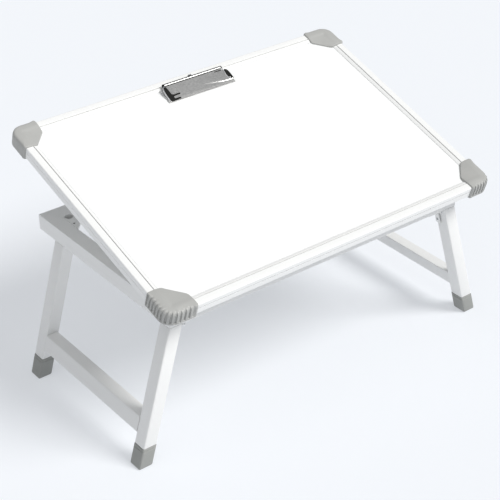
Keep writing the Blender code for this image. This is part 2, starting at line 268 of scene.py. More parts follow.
def shrink(points, by):
    """The closed outline moved inwards, by one amount or by a list of one per point."""
    count = len(points)
    area = sum(
        points[i][0] * points[(i + 1) % count][1] - points[(i + 1) % count][0] * points[i][1]
        for i in range(count)
    )
    turn = 1.0 if area > 0 else -1.0
    made = []
    for i, (a, b) in enumerate(points):
        p, q = points[i - 1], points[(i + 1) % count]
        d1 = Vector((a - p[0], b - p[1]))
        d2 = Vector((q[0] - a, q[1] - b))
        if d1.length > TINY:
            d1.normalize()
        if d2.length > TINY:
            d2.normalize()
        n1, n2 = Vector((-d1.y, d1.x)) * turn, Vector((-d2.y, d2.x)) * turn
        n = n1 + n2
        if n.length > TINY:
            n.normalize()
        reach = max(0.35, n.dot(n1)) if n1.length > 0 else 1.0
        step = by[i] if isinstance(by, list) else by
        made.append((a + n.x * step / reach, b + n.y * step / reach))
    return made


def standing(points, at, along):
    """A flat outline's points in space, at one spot of the axis it is pushed along."""
    if along == "X":
        return [(at, a, b) for a, b in points]
    if along == "Y":
        return [(a, at, b) for a, b in points]
    return [(a, b, at) for a, b in points]


def pushed(outline, low, high, along, edge=0.4, steps=2, bm=None):
    """An outline pushed along an axis, with its end edges rounded."""
    bm = bmesh.new() if bm is None else bm
    turns = [math.pi / 2 * i / steps for i in range(steps + 1)]
    ends = [(edge * (1 - math.sin(t)), low + edge * (1 - math.cos(t))) for t in turns]
    ends += [(edge * (1 - math.cos(t)), high - edge * (1 - math.sin(t))) for t in turns]
    loft(bm, [standing(shrink(outline, inset), at, along) for inset, at in ends])
    return bm


def holed(outline, holes, low, high, along, edge=0.25, bm=None):
    """A pushed outline with round or long holes right through it."""
    bm = bmesh.new() if bm is None else bm
    rings = [
        standing(shrink(outline, edge), low, along),
        standing(outline, low + edge, along),
        standing(outline, high - edge, along),
        standing(shrink(outline, edge), high, along),
    ]
    outer, _ = loft(bm, rings, cap=False)
    insides = []
    for hole in holes:
        rows, _ = loft(bm, [standing(hole, at, along) for at in (low, high)], cap=False)
        insides.append(rows)
    for k in (0, -1):
        edges = []
        for loop in [outer[k]] + [inside[k] for inside in insides]:
            for i in range(len(loop)):
                edges.append(bm.edges.get((loop[i], loop[(i + 1) % len(loop)])))
        bmesh.ops.triangle_fill(bm, edges=edges, use_beauty=True, use_dissolve=False)
    return bm


# shares of a screw's radius: the head's outline as (radius, height), with the heights to be
# multiplied by SCREW_HEIGHT, and half the length and width of the two arms of its cross
SCREW_HEAD = ((1.0, 0.0), (1.0, 0.18), (0.93, 0.42), (0.75, 0.62), (0.45, 0.76), (0.2, 0.8))
SCREW_HEIGHT = 0.45
SCREW_ARMS = ((0.62, 0.13), (0.13, 0.62))
SCREW_ARM_LOW, SCREW_ARM_HIGH = 0.29, 0.375


def screw(name, x, y, z, axis, body, place=plain, radius=1.9):
    """A domed cross-head screw standing on (x, y, z), its head pointing along axis."""
    n = Vector(axis).normalized()
    a = n.orthogonal().normalized()
    b = n.cross(a)
    base = Vector((x, y, z))

    def at(u, v, h):
        spot = base + a * u + b * v + n * h
        return (spot.x, spot.y, spot.z)

    rings = []
    for r, h in SCREW_HEAD:
        rings.append([at(u, v, h * radius * SCREW_HEIGHT) for u, v in circle(0, 0, radius * r, 20)])
    finish_mesh(f"{name}_head", lofted(*rings), ZINC, body, place=place)
    # the cross is a near-black solid sunk into the dome: painted shade in its recess
    bm = bmesh.new()
    low, high = radius * SCREW_ARM_LOW, radius * SCREW_ARM_HIGH
    for long, wide in SCREW_ARMS:
        ring = [(-long, -wide), (long, -wide), (long, wide), (-long, wide)]
        loft(bm, [[at(u * radius, v * radius, h) for u, v in ring] for h in (low, high)])
    finish_mesh(f"{name}_slot", bm, SCREW_CROSS_SHADE, body, place=place, smooth=0)


# ---------------------------------------------------------------- base frame

ROUND = 0.7                       # edge radius of the rails
MITRE_GAP = 0.08                  # how far each rail stops before the corner's diagonal

for side, sign in SIDES:
    section = rounded(INN, OUT, RAIL_LOW, RAIL_TOP, ROUND)
    bm = lofted(
        [(sign * x, FRONT + MITRE_GAP + (OUT - x), z) for x, z in section],
        [(sign * x, REAR - MITRE_GAP - (OUT - x), z) for x, z in section],
    )
    finish_mesh(f"side_rail_{side}_tube", bm, WHITE, "base", (f"side_rail_{side}",))
for place, edge, step in (("front", FRONT, 1), ("rear", REAR, -1)):
    section = rounded(0.0, RAIL_WIDE, RAIL_LOW, RAIL_TOP, ROUND)
    bm = lofted(
        [(-OUT + MITRE_GAP + b, edge + step * b, z) for b, z in section],
        [(OUT - MITRE_GAP - b, edge + step * b, z) for b, z in section],
    )
    finish_mesh(f"{place}_rail_tube", bm, WHITE, "base", (f"{place}_rail",))

# Corner plates. The holes' centres are measured from the inner corner of the rails, along the
# front or rear rail and along the side rail.
PLATE_GAP = 0.05
PLATE_LOW = 191.5
PLATE = ((0, 0), (39.6, 0), (40.0, 0.4), (0.4, 40.0), (0, 39.6))
LARGE_HOLE, LARGE_RADIUS = (6.6, 9.0), 5.4
SMALL_HOLE, SMALL_RADIUS = (3.4, 26.4), 1.6
# outline of the socket below the large hole, as (radius, height): a cup with a thin wall
SOCKET = ((5.6, 182.0), (5.6, 191.4), (5.35, 191.4), (5.35, 183.0), (0.3, 183.0))
# near-black discs on the floors of both holes, painted shade in them, as (radius, underside, top)
SOCKET_FLOOR, SMALL_FLOOR = (5.2, 183.1, 184.2), (1.55, 191.6, 193.6)


def corner_plate(name, x, y, sign, step):
    """A plate across one corner of the base, whose inner corner is (x, y)."""

    def at(a, b):
        return (x - sign * a, y + step * b)

    def hole_at(centre, radius, count):
        return [at(centre[0] + p, centre[1] + q) for p, q in circle(0, 0, radius, count)]

    holes = (hole_at(LARGE_HOLE, LARGE_RADIUS, 36), hole_at(SMALL_HOLE, SMALL_RADIUS, 20))
    bm = holed([at(*spot) for spot in PLATE], holes, PLATE_LOW, RAIL_TOP, "Z", 0.12)
    finish_mesh(f"{name}_sheet", bm, WHITE, "base", (name,))
    centre = at(*LARGE_HOLE)
    bm = lofted(*[[(p, q, z) for p, q in circle(*centre, r, 36)] for r, z in SOCKET])
    finish_mesh(f"{name}_socket", bm, WHITE, "base")
    # near-black discs in both holes: painted shade
    radius, low, high = SOCKET_FLOOR
    bm = pushed(circle(*centre, radius, 36), low, high, "Z", 0.1)
    finish_mesh(f"{name}_socket_floor", bm, SHADE_BLACK, "base")
    radius, low, high = SMALL_FLOOR
    bm = pushed(circle(*at(*SMALL_HOLE), radius, 20), low, high, "Z", 0.1)
    finish_mesh(f"{name}_small_hole_floor", bm, SHADE_BLACK, "base")


for place, edge, step in (("front", FRONT + RAIL_WIDE, 1), ("rear", REAR - RAIL_WIDE, -1)):
    for side, sign in SIDES:
        x, y = sign * (INN - PLATE_GAP), edge + step * PLATE_GAP
        corner_plate(f"corner_plate_{place}_{side}", x, y, sign, step)

# ---------------------------------------------------------------- leg sets

SPLAY = 0.2898                    # how far the legs lean outwards for each mm down
REAR_LEG = 222.6                  # front face of the rear legs, from the front of the base
LEG_LOW, LEG_TOP, LEG_THICK = 26.3, 173.7, 18.0
LEG_ROUND, FOOT_ROUND = 1.8, 2.1
LEG_END = ((0.5, 0.0), (0.12, 0.15), (0.0, 0.5))    # (inset, rise) steps of its rounded ends
# Foot: rounded sole, straight walls and a rolled lip where the tube goes in, as (inset, height).
FOOT_LEVELS = (
    (1.9, 0.0), (0.9, 0.25), (0.3, 1.0), (0.0, 2.2), (0.0, 21.8), (0.45, 22.2),
    (0.45, 22.8), (0.0, 23.2), (0.0, 25.2), (0.15, 25.7), (0.5, 26.0),
)
FOOT_PROUD = 0.4                  # how far the foot stands out from the tube
STRETCHER_LOW, STRETCHER_TOP, STRETCHER_THICK = 38.5, 58.3, 15.8
STRETCHER_GAP, STRETCHER_ROUND = 0.05, 0.085     # gap to each leg, radius as a share of the section
LEG_PIN_X, LEG_PIN_Z = 196.0, 171.3
LEG_PIN_RADIUS, LEG_BORE_RADIUS = 1.05, 1.12
LEAF_FAR, LEAF_NEAR = 2.2, 1.0    # the two faces of a hinge leaf, from the pin
REAR_FAR, REAR_NEAR = 1.7, 0.5    # the same for the rear fixed plates
LEAF_LONG, FRONT_LONG, REAR_LONG = 24.0, 22.0, 17.0         # moving leaf, fixed plates
# where they, the pin and the screws lie from front to back of the leg
LEAF_FROM, LEAF_TO, LEAF_SCREW_Y = 10.0, 17.6, 13.8
PLATE_FROM, PLATE_TO, PLATE_SCREW_Y = 1.4, 9.4, 5.4
LEG_PIN_FROM, LEG_PIN_TO = 0.8, 18.2
# how far the screws are from the pin
LEAF_SCREWS, PLATE_SCREWS = (8.0, 18.0), {"front": (8.0, 16.5), "rear": (7.0, 13.0)}
LEAF_KNUCKLE, LEAF_EDGE = 2.2, 0.15


def leg_outer(z):
    """Outer face of the legs at height z, from the middle of the base."""
    return OUT + (RAIL_LOW - z) * SPLAY


def leg_tube(sign, y):
    """A splayed square tube with rounded ends, its front face at y."""
    levels = [(inset, LEG_LOW + rise) for inset, rise in LEG_END]
    levels += [(inset, LEG_TOP - rise) for inset, rise in reversed(LEG_END)]
    rings = []
    for inset, z in levels:
        outer = leg_outer(z)
        ring = rounded(outer - LEG_THICK, outer, y, y + RAIL_WIDE, LEG_ROUND)
        ring = shrink(ring, inset) if inset else ring
        rings.append([(sign * x, q, z) for x, q in ring])
    return lofted(*rings)


def foot_cap(sign, y):
    """A moulded foot round the lower end of a leg whose front face is at y."""
    wide = LEG_THICK + 2 * FOOT_PROUD
    rings = []
    for inset, z in FOOT_LEVELS:
        outer = leg_outer(z) + FOOT_PROUD
        front, back = y - FOOT_PROUD, y + RAIL_WIDE + FOOT_PROUD
        ring = rounded(outer - wide, outer, front, back, FOOT_ROUND)
        rings.append([(sign * x, q, z) for x, q in shrink(ring, inset)])
    return lofted(*rings)


def leaf(centre, along, across, far_edge, near_edge, length):
    """Outline of a hinge leaf: a flat plate that ends in a knuckle round the pin."""
    c, d, n = Vector(centre), Vector(along).normalized(), Vector(across).normalized()
    radius = LEAF_KNUCKLE
    start = math.asin(near_edge / radius)
    end = math.asin(min(1.0, far_edge / radius)) - 2 * math.pi
    turns = [start + (end - start) * i / 30 for i in range(31)]
    points = [c + d * length + n * far_edge, c + d * length + n * near_edge]
    points += [c + d * radius * math.cos(t) + n * radius * math.sin(t) for t in turns]
    return [tuple(point) for point in points]


def leg_hinge(side, sign, place, y):
    """Moving leaf, fixed plate, pin and screws at the top of one leg."""
    name, body = f"{side}_{place}", f"{side}_legs"
    centre = (sign * LEG_PIN_X, LEG_PIN_Z)
    slope = Vector((-SPLAY, -1.0)).normalized()
    down, outward = (-sign * slope.x, slope.y), (-sign * slope.y, -slope.x)
    bore = (circle(*centre, LEG_BORE_RADIUS, 20),)
    section = leaf(centre, down, outward, LEAF_FAR, LEAF_NEAR, LEAF_LONG)
    bm = holed(section, bore, y + LEAF_FROM, y + LEAF_TO, "Y", LEAF_EDGE)
    finish_mesh(f"{name}_leaf_plate", bm, WHITE, body, (f"{name}_hinge_leaf",))
    if place == "front":
        section = leaf(centre, (-sign, 0.0), (0.0, 1.0), LEAF_FAR, LEAF_NEAR, FRONT_LONG)
    else:
        section = leaf(centre, (0.0, 1.0), (sign, 0.0), REAR_FAR, REAR_NEAR, REAR_LONG)
    bm = holed(section, bore, y + PLATE_FROM, y + PLATE_TO, "Y", LEAF_EDGE)
    finish_mesh(f"{name}_fixed_plate", bm, WHITE, "base", (f"{name}_hinge_plate",))
    pin = circle(*centre, LEG_PIN_RADIUS, 20)
    bm = pushed(pin, y + LEG_PIN_FROM, y + LEG_PIN_TO, "Y", 0.3)
    finish_mesh(f"{name}_pin_rod", bm, ZINC, "base", (f"{name}_hinge_pin",))
    for k, reach in enumerate(LEAF_SCREWS):
        c = Vector(centre) + Vector(down) * reach + Vector(outward) * LEAF_NEAR
        axis = (-outward[0], 0.0, -outward[1])
        screw(f"{name}_leaf_screw{k}", c.x, y + LEAF_SCREW_Y, c.y, axis, body)
    for k, reach in enumerate(PLATE_SCREWS[place]):
        if place == "front":
            x, z, axis = centre[0] - sign * reach, centre[1] + LEAF_NEAR, (0.0, 0.0, -1.0)
        else:
            x, z, axis = centre[0] + sign * REAR_NEAR, centre[1] + reach, (-sign, 0.0, 0.0)
        screw(f"{name}_plate_screw{k}", x, y + PLATE_SCREW_Y, z, axis, "base")


for side, sign in SIDES:
    body = f"{side}_legs"
    for place, start in (("front", 0.0), ("rear", REAR_LEG)):
        y = FRONT + start
        name = f"{side}_{place}"
        bm = leg_tube(sign, y)
        finish_mesh(f"{name}_leg_tube", bm, WHITE, body, (f"{name}_leg",))
        bm = foot_cap(sign, y)
        finish_mesh(f"{name}_foot_cap", bm, FOOT, body, (f"{name}_foot",))
        leg_hinge(side, sign, place, y)
    # stretcher: flat tube between the legs, its outer face flush with them
    section = []
    for s, t in rounded(0.0, 1.0, 0.0, 1.0, STRETCHER_ROUND):
        z = STRETCHER_LOW + (STRETCHER_TOP - STRETCHER_LOW) * t
        section.append((sign * (leg_outer(z) - STRETCHER_THICK * (1 - s)), z))
    ends = (FRONT + RAIL_WIDE + STRETCHER_GAP, FRONT + REAR_LEG - STRETCHER_GAP)
    bm = lofted(*[[(x, q, z) for x, z in section] for q in ends])
    finish_mesh(f"{side}_stretcher_tube", bm, WHITE, body, (f"{side}_stretcher",))

# ---------------------------------------------------------------- drawing board

for node, mat in (("writing_surface", SHEET), ("board_core", BACKING)):
    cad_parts[node].data.materials.clear()
    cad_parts[node].data.materials.append(mat)

# Section of the edge profiles, as (in from the edge, up from the underside): a channel with a
# thin lip over the sheet, a groove along the rim and a seam round the outer face.
RIM = [
    (1.2, 0.0), (14.5, 0.0), (14.5, 1.5), (1.8, 1.5), (1.8, 13.1), (13.6, 13.1), (14.5, 12.88),
    (14.5, 13.0), (14.1, 13.3), (10.9, 14.6), (10.35, 14.7), (10.15, 14.5), (10.1, 13.7),
    (9.1, 13.7), (9.05, 14.75), (8.8, 14.95), (8.4, 15.0),
]
RIM += arc(1.5, 13.5, 1.5, 90, 180, 6)
RIM += [(0.0, 8.9), (0.35, 8.75), (0.35, 8.15), (0.0, 8.0), (0.0, 2.4)]
RIM += arc(1.2, 1.2, 1.2, 180, 270, 5)[:-1]
# strips laid on the floors of the groove and the seam, their dark colour painted shade
GROOVE_FLOOR = [(9.25, 13.5), (9.95, 13.5), (9.95, 14.0), (9.25, 14.0)]
SEAM_FLOOR = [(0.15, 8.2), (0.6, 8.2), (0.6, 8.7), (0.15, 8.7)]
# how far from the board's corners the side profiles and the front and back ones end
SIDE_END, CROSS_END = 14.6, 14.8
SHORTER = 0.1                     # what lies in them ends this much sooner


def side_profile(section, sign, short=0.0):
    ends = (VF + SIDE_END + short, VB - SIDE_END - short)
    return lofted(*[[(sign * (HALF - s), v, LOW + w) for s, w in section] for v in ends])


def cross_profile(section, edge, step, short=0.0):
    ends = (-HALF + CROSS_END + short, HALF - CROSS_END - short)
    return lofted(*[[(x, edge + step * s, LOW + w) for s, w in section] for x in ends])


def profile_piece(name, bm, mat, replaces=(), smooth=0):
    finish_mesh(name, bm, mat, "board", replaces, board, smooth)


BOARD_ENDS = (("front", VF, 1), ("back", VB, -1))
for side, sign in SIDES:
    name = f"profile_{side}"
    profile_piece(f"{name}_extrusion", side_profile(RIM, sign), PROFILE, (name,), 25.0)
for place, edge, step in BOARD_ENDS:
    name = f"profile_{place}"
    profile_piece(f"{name}_extrusion", cross_profile(RIM, edge, step), PROFILE, (name,), 25.0)
# dark strips in the grooves and the seam: painted shade
for side, sign in SIDES:
    profile_piece(f"profile_{side}_groove", side_profile(GROOVE_FLOOR, sign, SHORTER), GROOVE)
for place, edge, step in BOARD_ENDS:
    bm = cross_profile(GROOVE_FLOOR, edge, step, SHORTER)
    profile_piece(f"profile_{place}_groove", bm, GROOVE_FAINT_SHADE)
profile_piece("profile_front_seam", cross_profile(SEAM_FLOOR, VF, 1, SHORTER), GROOVE)

# ---------------------------------------------------------------- corner caps

CAP_PROUD = 2.3                   # how far a cap stands out from the profiles
CAP_FLAT = -2.2                   # outline points beyond this lie on a straight outer wall
CAP_STEP = 0.6                    # spacing of the outline's points on those walls


def smoothstep(low, high, x):
    t = min(1.0, max(0.0, (x - low) / (high - low)))
    return t * t * (3 - 2 * t)


def cap_outline():
    """Outline of a corner cap, as (in from the side, in from the front or back) points."""
    path = [(36.0, 18.0), (36.2, 14.0), (36.3, 8.0)]
    path += [(36.0 - 3.2 + p, 1.2 + q) for p, q in arc(0, 0, 3.5, 0, -90, 8)]
    x = 31.0
    while x > 14.0:
        path.append((x, -CAP_PROUD))
        x -= CAP_STEP
    path += arc(13.7, 13.7, 16.0, 270, 180, 42)
    y = 14.2
    while y < 35.0:
        path.append((-CAP_PROUD, y))
        y += CAP_STEP
    path += [(1.3 + p, 36.5 + q) for p, q in arc(0, 0, 3.6, 180, 90, 8)]
    path += [(8.0, 40.2), (14.5, 40.0), (17.0, 39.2), (18.6, 37.8)]
    steps = 10
    for i in range(1, steps + 1):
        path.append((18.6 + (35.0 - 18.6) * i / steps, 37.8 + (20.6 - 37.8) * i / steps))
    return path


CAP = cap_outline()
run, length = [0.0], 0.0          # the way along the outline to each of its points
for i in range(1, len(CAP)):
    length += math.dist(CAP[i - 1], CAP[i])
    run.append(length)
RIB_START = next(run[i] for i in range(len(CAP)) if CAP[i][1] < CAP_FLAT)
RIB_END = max(run[i] for i in range(len(CAP)) if CAP[i][0] < CAP_FLAT)
RIB_PITCH = 5.4
# a cap from its underside up, as (inset, height above the board's underside, slot depth)
CAP_LEVELS = (
    (2.0, -1.8, 0.0), (0.7, -1.5, 0.0), (0.15, -0.9, 0.0), (0.0, 0.2, 0.0), (0.0, 0.8, 0.3),
    (0.0, 1.6, 1.5), (0.0, 4.0, 1.6), (0.0, 8.0, 1.6), (0.0, 11.5, 1.6), (0.25, 13.6, 1.5),
    (0.8, 15.1, 1.3), (1.7, 16.1, 0.9), (3.0, 16.65, 0.45), (4.6, 16.8, 0.0),
)
CAP_CUTS = (7.0, 8.5, 10.0, 11.5, 13.0, 15.0)       # where its top is cut so that it can bend
FALL_FROM, FALL_DEEP = 12.0, 4.8  # only what lies above this height falls, in full at the top
SLOT_DROP = 0.55                  # how much lower the rim is at a slot
# how far each cap stands out sideways, and its reach along the front or back and along the side
REACHES = {
    ("front", "left"): (0.0, 1.1, 1.0),
    ("front", "right"): (2.0, 0.9, 1.04),
    ("back", "left"): (0.0, 0.92, 0.9),
    ("back", "right"): (0.5, 1.06, 0.9),
}
# the share of the outer wall that has slots in it; the back caps are smooth
SLOTTED = {("front", "left"): 1.0, ("front", "right"): 0.62}


def corner_cap(name, sign, edge, step, slotted, proud, wide, deep):
    """A slotted cap whose top slopes down to the sheet inside its rim."""
    bm = bmesh.new()
    slots, reach = [], []
    for t in run:
        inside = RIB_START - 0.5 < t < RIB_END + 0.5
        away = min(abs(t - RIB_START), abs(t - RIB_END)) if inside else 0.0
        reach.append(0.3 + 0.7 * smoothstep(0.0, 7.0, away) if inside else 0.3)
        wave = 0.0
        if t < RIB_START + slotted * (RIB_END - RIB_START) and inside:
            phase = (t - RIB_START) % RIB_PITCH
            near = min(abs(phase - RIB_PITCH / 2), RIB_PITCH / 2)
            wave = 1.0 - smoothstep(0.85, 1.45, near)
        slots.append(wave)
    rings = []
    for inset, w, cut in CAP_LEVELS:
        ring = shrink(CAP, [inset * reach[i] + cut * slots[i] for i in range(len(CAP))])
        drop = [SLOT_DROP * slots[i] if 14.0 < w < 16.75 else 0.0 for i in range(len(CAP))]
        rings.append([(a, b, LOW + w - drop[i]) for i, (a, b) in enumerate(ring)])
    _, top = loft(bm, rings)
    geom = [top, *top.edges, *top.verts]
    cuts = [((k, 0, 0), (1, 0, 0)) for k in CAP_CUTS] + [((0, k, 0), (0, 1, 0)) for k in CAP_CUTS]
    cuts.append(((0, 0, 0), (1, -1, 0)))
    for where, normal in cuts:
        split = bmesh.ops.bisect_plane(bm, geom=geom, plane_co=where, plane_no=normal, dist=0.0001)
        geom = split["geom"]
    for vert in bm.verts:
        a, b, w = vert.co
        share = min(1.0, max(0.0, (w - LOW - FALL_FROM) / FALL_DEEP))
        fall = smoothstep(8.0, 14.5, min(a, b)) + 1.2 * smoothstep(14.0, 20.0, min(a, b))
        vert.co.z = w - fall * share

    def stretched(a, b, w):
        a = (a + CAP_PROUD) * wide - CAP_PROUD - proud
        b = (b + CAP_PROUD) * deep - CAP_PROUD
        return board(sign * (HALF - a), edge + step * b, w)

    finish_mesh(f"{name}_moulding", bm, GREY, "board", (name,), stretched, 40.0)


for place, edge, step in BOARD_ENDS:
    for side, sign in SIDES:
        slotted = SLOTTED.get((place, side), 0.0)
        name = f"corner_cap_{place}_{side}"
        corner_cap(name, sign, edge, step, slotted, *REACHES[place, side])

# ---------------------------------------------------------------- paper clip

CLIP_X, CLIP_V, CLIP_W = 11.0, VB - 12.6, TOP + 3.4     # middle of the clip's pin, on the board
ROLL_HALF = 43.0                  # half of the rolled edge's width
EAR_IN, EAR_OUT = 43.7, 44.7      # inner and outer face of the base plate's ears
SHEET_THICK = 0.6


def clip(x, v, w):
    """Clip frame (across, up the slope and out of the surface, from its pin) to the row frame."""
    return board(CLIP_X + x, CLIP_V + v, CLIP_W + w)


def thick_line(line, thick):
    """Closed outline of a bent strip."""
    count = len(line)
    up, down = [], []
    for i, (a, b) in enumerate(line):
        p, q = line[max(0, i - 1)], line[min(count - 1, i + 1)]
        d = Vector((q[0] - p[0], q[1] - p[1])).normalized()
        n = Vector((-d.y, d.x)) * thick / 2
        up.append((a + n.x, b + n.y))
        down.append((a - n.x, b - n.y))
    return up + list(reversed(down))


def plate_height(x, y):
    """Upper face of the jaw's plate: a gentle slope with a crease that fades in to the right."""
    z = 1.55 + (y + 3.0) * 0.285 - 0.08 * smoothstep(-21.5, -25.6, y)
    share = smoothstep(2.0, 44.0, x)
    crease = -16.0 - 4.6 * share
    rise = smoothstep(crease - 0.5, crease + 0.5, y) * (1.0 - smoothstep(crease + 1.5, -4.0, y))
    return z + 0.2 * share ** 0.7 * rise


def on_plate(spots, raised=0.0):
    """Points as high as the jaw's plate would be without its crease, raised by an amount."""
    return [(x, y, plate_height(0.0, y) + raised) for x, y in spots]


def clip_piece(name, bm, mat, body="clip", replaces=(), smooth=35.0):
    finish_mesh(name, bm, mat, body, replaces, clip, smooth)


JAW = [
    (-50.0, -25.4), (50.0, -25.4), (50.4, -25.0), (50.2, -21.2), (49.6, -20.4), (45.4, -18.2),
    (43.4, -15.6), (42.9, -12.0), (42.9, -3.1), (-42.9, -3.1), (-42.9, -12.0), (-43.4, -15.6),
    (-45.4, -18.2), (-49.6, -20.4), (-50.2, -21.2), (-50.4, -25.0),
]
bm = bmesh.new()
bm.faces.new([bm.verts.new((x, y, 0.0)) for x, y in JAW])
cuts = [((0, -4.0 - 0.4 * k, 0), (0, 1, 0)) for k in range(54)]
cuts += [((k, 0, 0), (1, 0, 0)) for k in (-38.0, -24.0, -10.0)]
cuts += [((2.0 + 2.4 * k, 0, 0), (1, 0, 0)) for k in range(20)]
for where, normal in cuts:
    geom = [*bm.verts, *bm.edges, *bm.faces]
    bmesh.ops.bisect_plane(bm, geom=geom, plane_co=where, plane_no=normal, dist=0.0001)
for vert in bm.verts:
    vert.co.z = plate_height(vert.co.x, vert.co.y)
lower = bmesh.ops.extrude_face_region(bm, geom=list(bm.faces))
for item in lower["geom"]:
    if isinstance(item, bmesh.types.BMVert):
        item.co.z -= SHEET_THICK
# extruding leaves its faces in no fixed order, so all are sorted by where they lie
for items, centre in (
    (bm.verts, lambda vert: tuple(vert.co)),
    (bm.edges, lambda edge: tuple(edge.verts[0].co + edge.verts[1].co)),
    (bm.faces, lambda face: tuple(face.calc_center_median())),
):
    rank = {item: i for i, item in enumerate(sorted(items, key=centre))}
    items.sort(key=rank.get)
clip_piece("clip_jaw_plate", bm, CHROME, replaces=("clip_lever",), smooth=40.0)

# the roll round the pin, in a darker copy of the jaw's steel that paints shade on it, and the dark
# gap between it and the plate, a near-black strip of painted shade
ROLL_RADIUS, ROLL_THICK = 2.0, 0.5
GAP_HALF, CUT_EDGE_HALF = 42.6, 42.9
roll = thick_line(arc(0.0, 0.0, ROLL_RADIUS, 140, -160, 26), ROLL_THICK)
spots = (-ROLL_HALF, -42.8, 42.8, ROLL_HALF)
clip_piece("clip_jaw_roll", lofted(*[standing(roll, x, "X") for x in spots]), SHADED_ROLL_STEEL, smooth=40.0)
# near-black strip: painted shade in the gap
gap = rounded(-3.9, -1.5, 0.3, 0.95, 0.2, 2)
clip_piece("clip_jaw_seam", lofted(*[standing(gap, x, "X") for x in (-GAP_HALF, GAP_HALF)]), SHADE_BLACK)
# near-black strips of painted shade: along the sheet's own cut edge, wrapped over the roll, and in
# a short slot beside it
cut_edge = arc(0.0, 0.0, 2.29, 86, 50, 6) + arc(0.0, 0.0, 2.1, 50, 86, 6)
bm = lofted(*[standing(cut_edge, x, "X") for x in (-CUT_EDGE_HALF, CUT_EDGE_HALF)])
clip_piece("clip_jaw_sheet_edge", bm, SHADE_BLACK)
slot_line = rounded(30.5, 41.0, -5.6, -4.5, 0.5, 4)
clip_piece("clip_jaw_slot", lofted(*[on_plate(slot_line, h) for h in (-0.3, 0.12)]), SHADE_BLACK)


def wire(spots, radius):
    """A round wire through a run of points."""
    rings = []
    for i, spot in enumerate(spots):
        here = Vector(spot)
        way = Vector(spots[min(i + 1, len(spots) - 1)]) - Vector(spots[max(i - 1, 0)])
        way.normalize()
        across = way.cross(Vector((0.0, 0.0, 1.0))).normalized()
        other = across.cross(way)
        rings.append([tuple(here + across * a + other * b) for a, b in circle(0, 0, radius, 10)])
    return lofted(*rings)


# bent edges down both sides of the plate, in a lighter and glossier copy of the jaw's steel that
# paints a highlight on them
BENDS = {
    "left": [
        (-43.8, -2.6), (-46.0, -3.2), (-47.6, -4.8), (-48.4, -8.0), (-48.7, -13.0),
        (-48.5, -18.5), (-47.8, -23.8),
    ],
    "right": [
        (41.6, -3.2), (43.0, -4.4), (43.9, -7.0), (43.9, -10.5), (43.6, -13.6), (44.6, -16.6),
        (47.0, -18.4),
    ],
}
BEND_RADIUS, BEND_RAISED = 0.8, -0.1
for side, spots in BENDS.items():
    bm = wire(on_plate(spots, BEND_RAISED), BEND_RADIUS)
    clip_piece(f"clip_bent_edge_{side}", bm, HIGHLIGHT_STEEL, smooth=60.0)

# near-black strips laid on the plate at both ends, painted shade beside the plate, each with the
# height of its upper face
ENDS = {
    "left": (0.35, [
        (-46.4, -5.4), (-44.6, -4.8), (-42.8, -6.0), (-42.4, -8.0), (-41.6, -15.0),
        (-40.0, -16.4), (-30.4, -16.4), (-29.4, -17.3), (-30.4, -18.3), (-39.4, -18.7),
        (-40.6, -20.0), (-40.2, -22.0), (-32.8, -22.1), (-31.9, -23.1), (-32.8, -24.2),
        (-45.4, -24.9), (-47.0, -23.0), (-47.4, -14.0), (-47.2, -8.0),
    ]),
    "right": (-0.15, [
        (44.0, -6.2), (46.4, -4.8), (49.4, -6.4), (51.0, -12.0), (51.4, -19.6), (48.2, -19.8),
        (43.6, -16.4),
    ]),
}
END_THICK = 0.9
for side, (raised, spots) in ENDS.items():
    bm = lofted(*[on_plate(spots, h) for h in (raised - END_THICK, raised)])
    clip_piece(f"clip_end_{side}", bm, SHADE_BLACK)
# small tab behind the roll
bm = pushed(rounded(-4.6, 0.6, 2.9, 4.1, 0.4, 3), -3.0, 1.75, "Z", 0.2)
clip_piece("clip_base_tab", bm, ZINC, "board")

# base plate with its two ears, in the shade of the jaw, near-black as painted shade
BASE_HALF, BASE_LOW, BASE_TOP = 44.5, -5.35, -4.65
CLIP_PIN_RADIUS = 1.3
EAR = [(-20.0, -5.3), (-2.7, -5.3), (-2.7, -4.4), (-1.0, -2.6)]
EAR += arc(0.0, 0.0, 2.3, -65, 150, 14)
EAR += [(-7.0, -1.4), (-13.0, -3.9), (-19.6, -4.7)]
bm = pushed(rounded(-BASE_HALF, BASE_HALF, -20.4, -2.7, 1.0), BASE_LOW, BASE_TOP, "Z", 0.15)
for sign in (-1, 1):
    near, far = sorted((sign * EAR_IN, sign * EAR_OUT))
    pushed(EAR, near, far, "X", 0.15, bm=bm)
clip_piece("clip_base_plate", bm, SHADE_BLACK, "board", ("clip_base",), 30.0)
bm = pushed(circle(0.0, 0.0, CLIP_PIN_RADIUS, 24), -EAR_OUT, EAR_OUT, "X", 0.3)
clip_piece("clip_pin_rod", bm, ZINC, "board", ("clip_pin",))

# wire spring round the pin under the jaw, with one coil on each side of the middle
COIL_START, COIL_PITCH, COIL_TURNS, COIL_STEPS = 14.0, 1.0, 4.0, 96
COIL_RADIUS, COIL_WIRE = 1.6, 0.22
bm = bmesh.new()
for sign in (-1, 1):
    rows = []
    for i in range(COIL_STEPS + 1):
        t = 2 * math.pi * COIL_TURNS * i / COIL_STEPS
        x = sign * (COIL_START + COIL_PITCH * COIL_TURNS * i / COIL_STEPS)
        centre = Vector((x, COIL_RADIUS * math.cos(t), COIL_RADIUS * math.sin(t)))
        out = Vector((0.0, math.cos(t), math.sin(t)))
        across = Vector((1.0, 0.0, 0.0))
        rows.append([tuple(centre + out * p + across * q) for p, q in circle(0, 0, COIL_WIRE, 6)])
    loft(bm, rows)
clip_piece("clip_spring_coils", bm, ZINC, "board")

# ---------------------------------------------------------------- hinges and stay


def steel(name, bm, body, node, place=plain):
    finish_mesh(name, bm, ZINC, body, (node,), place)


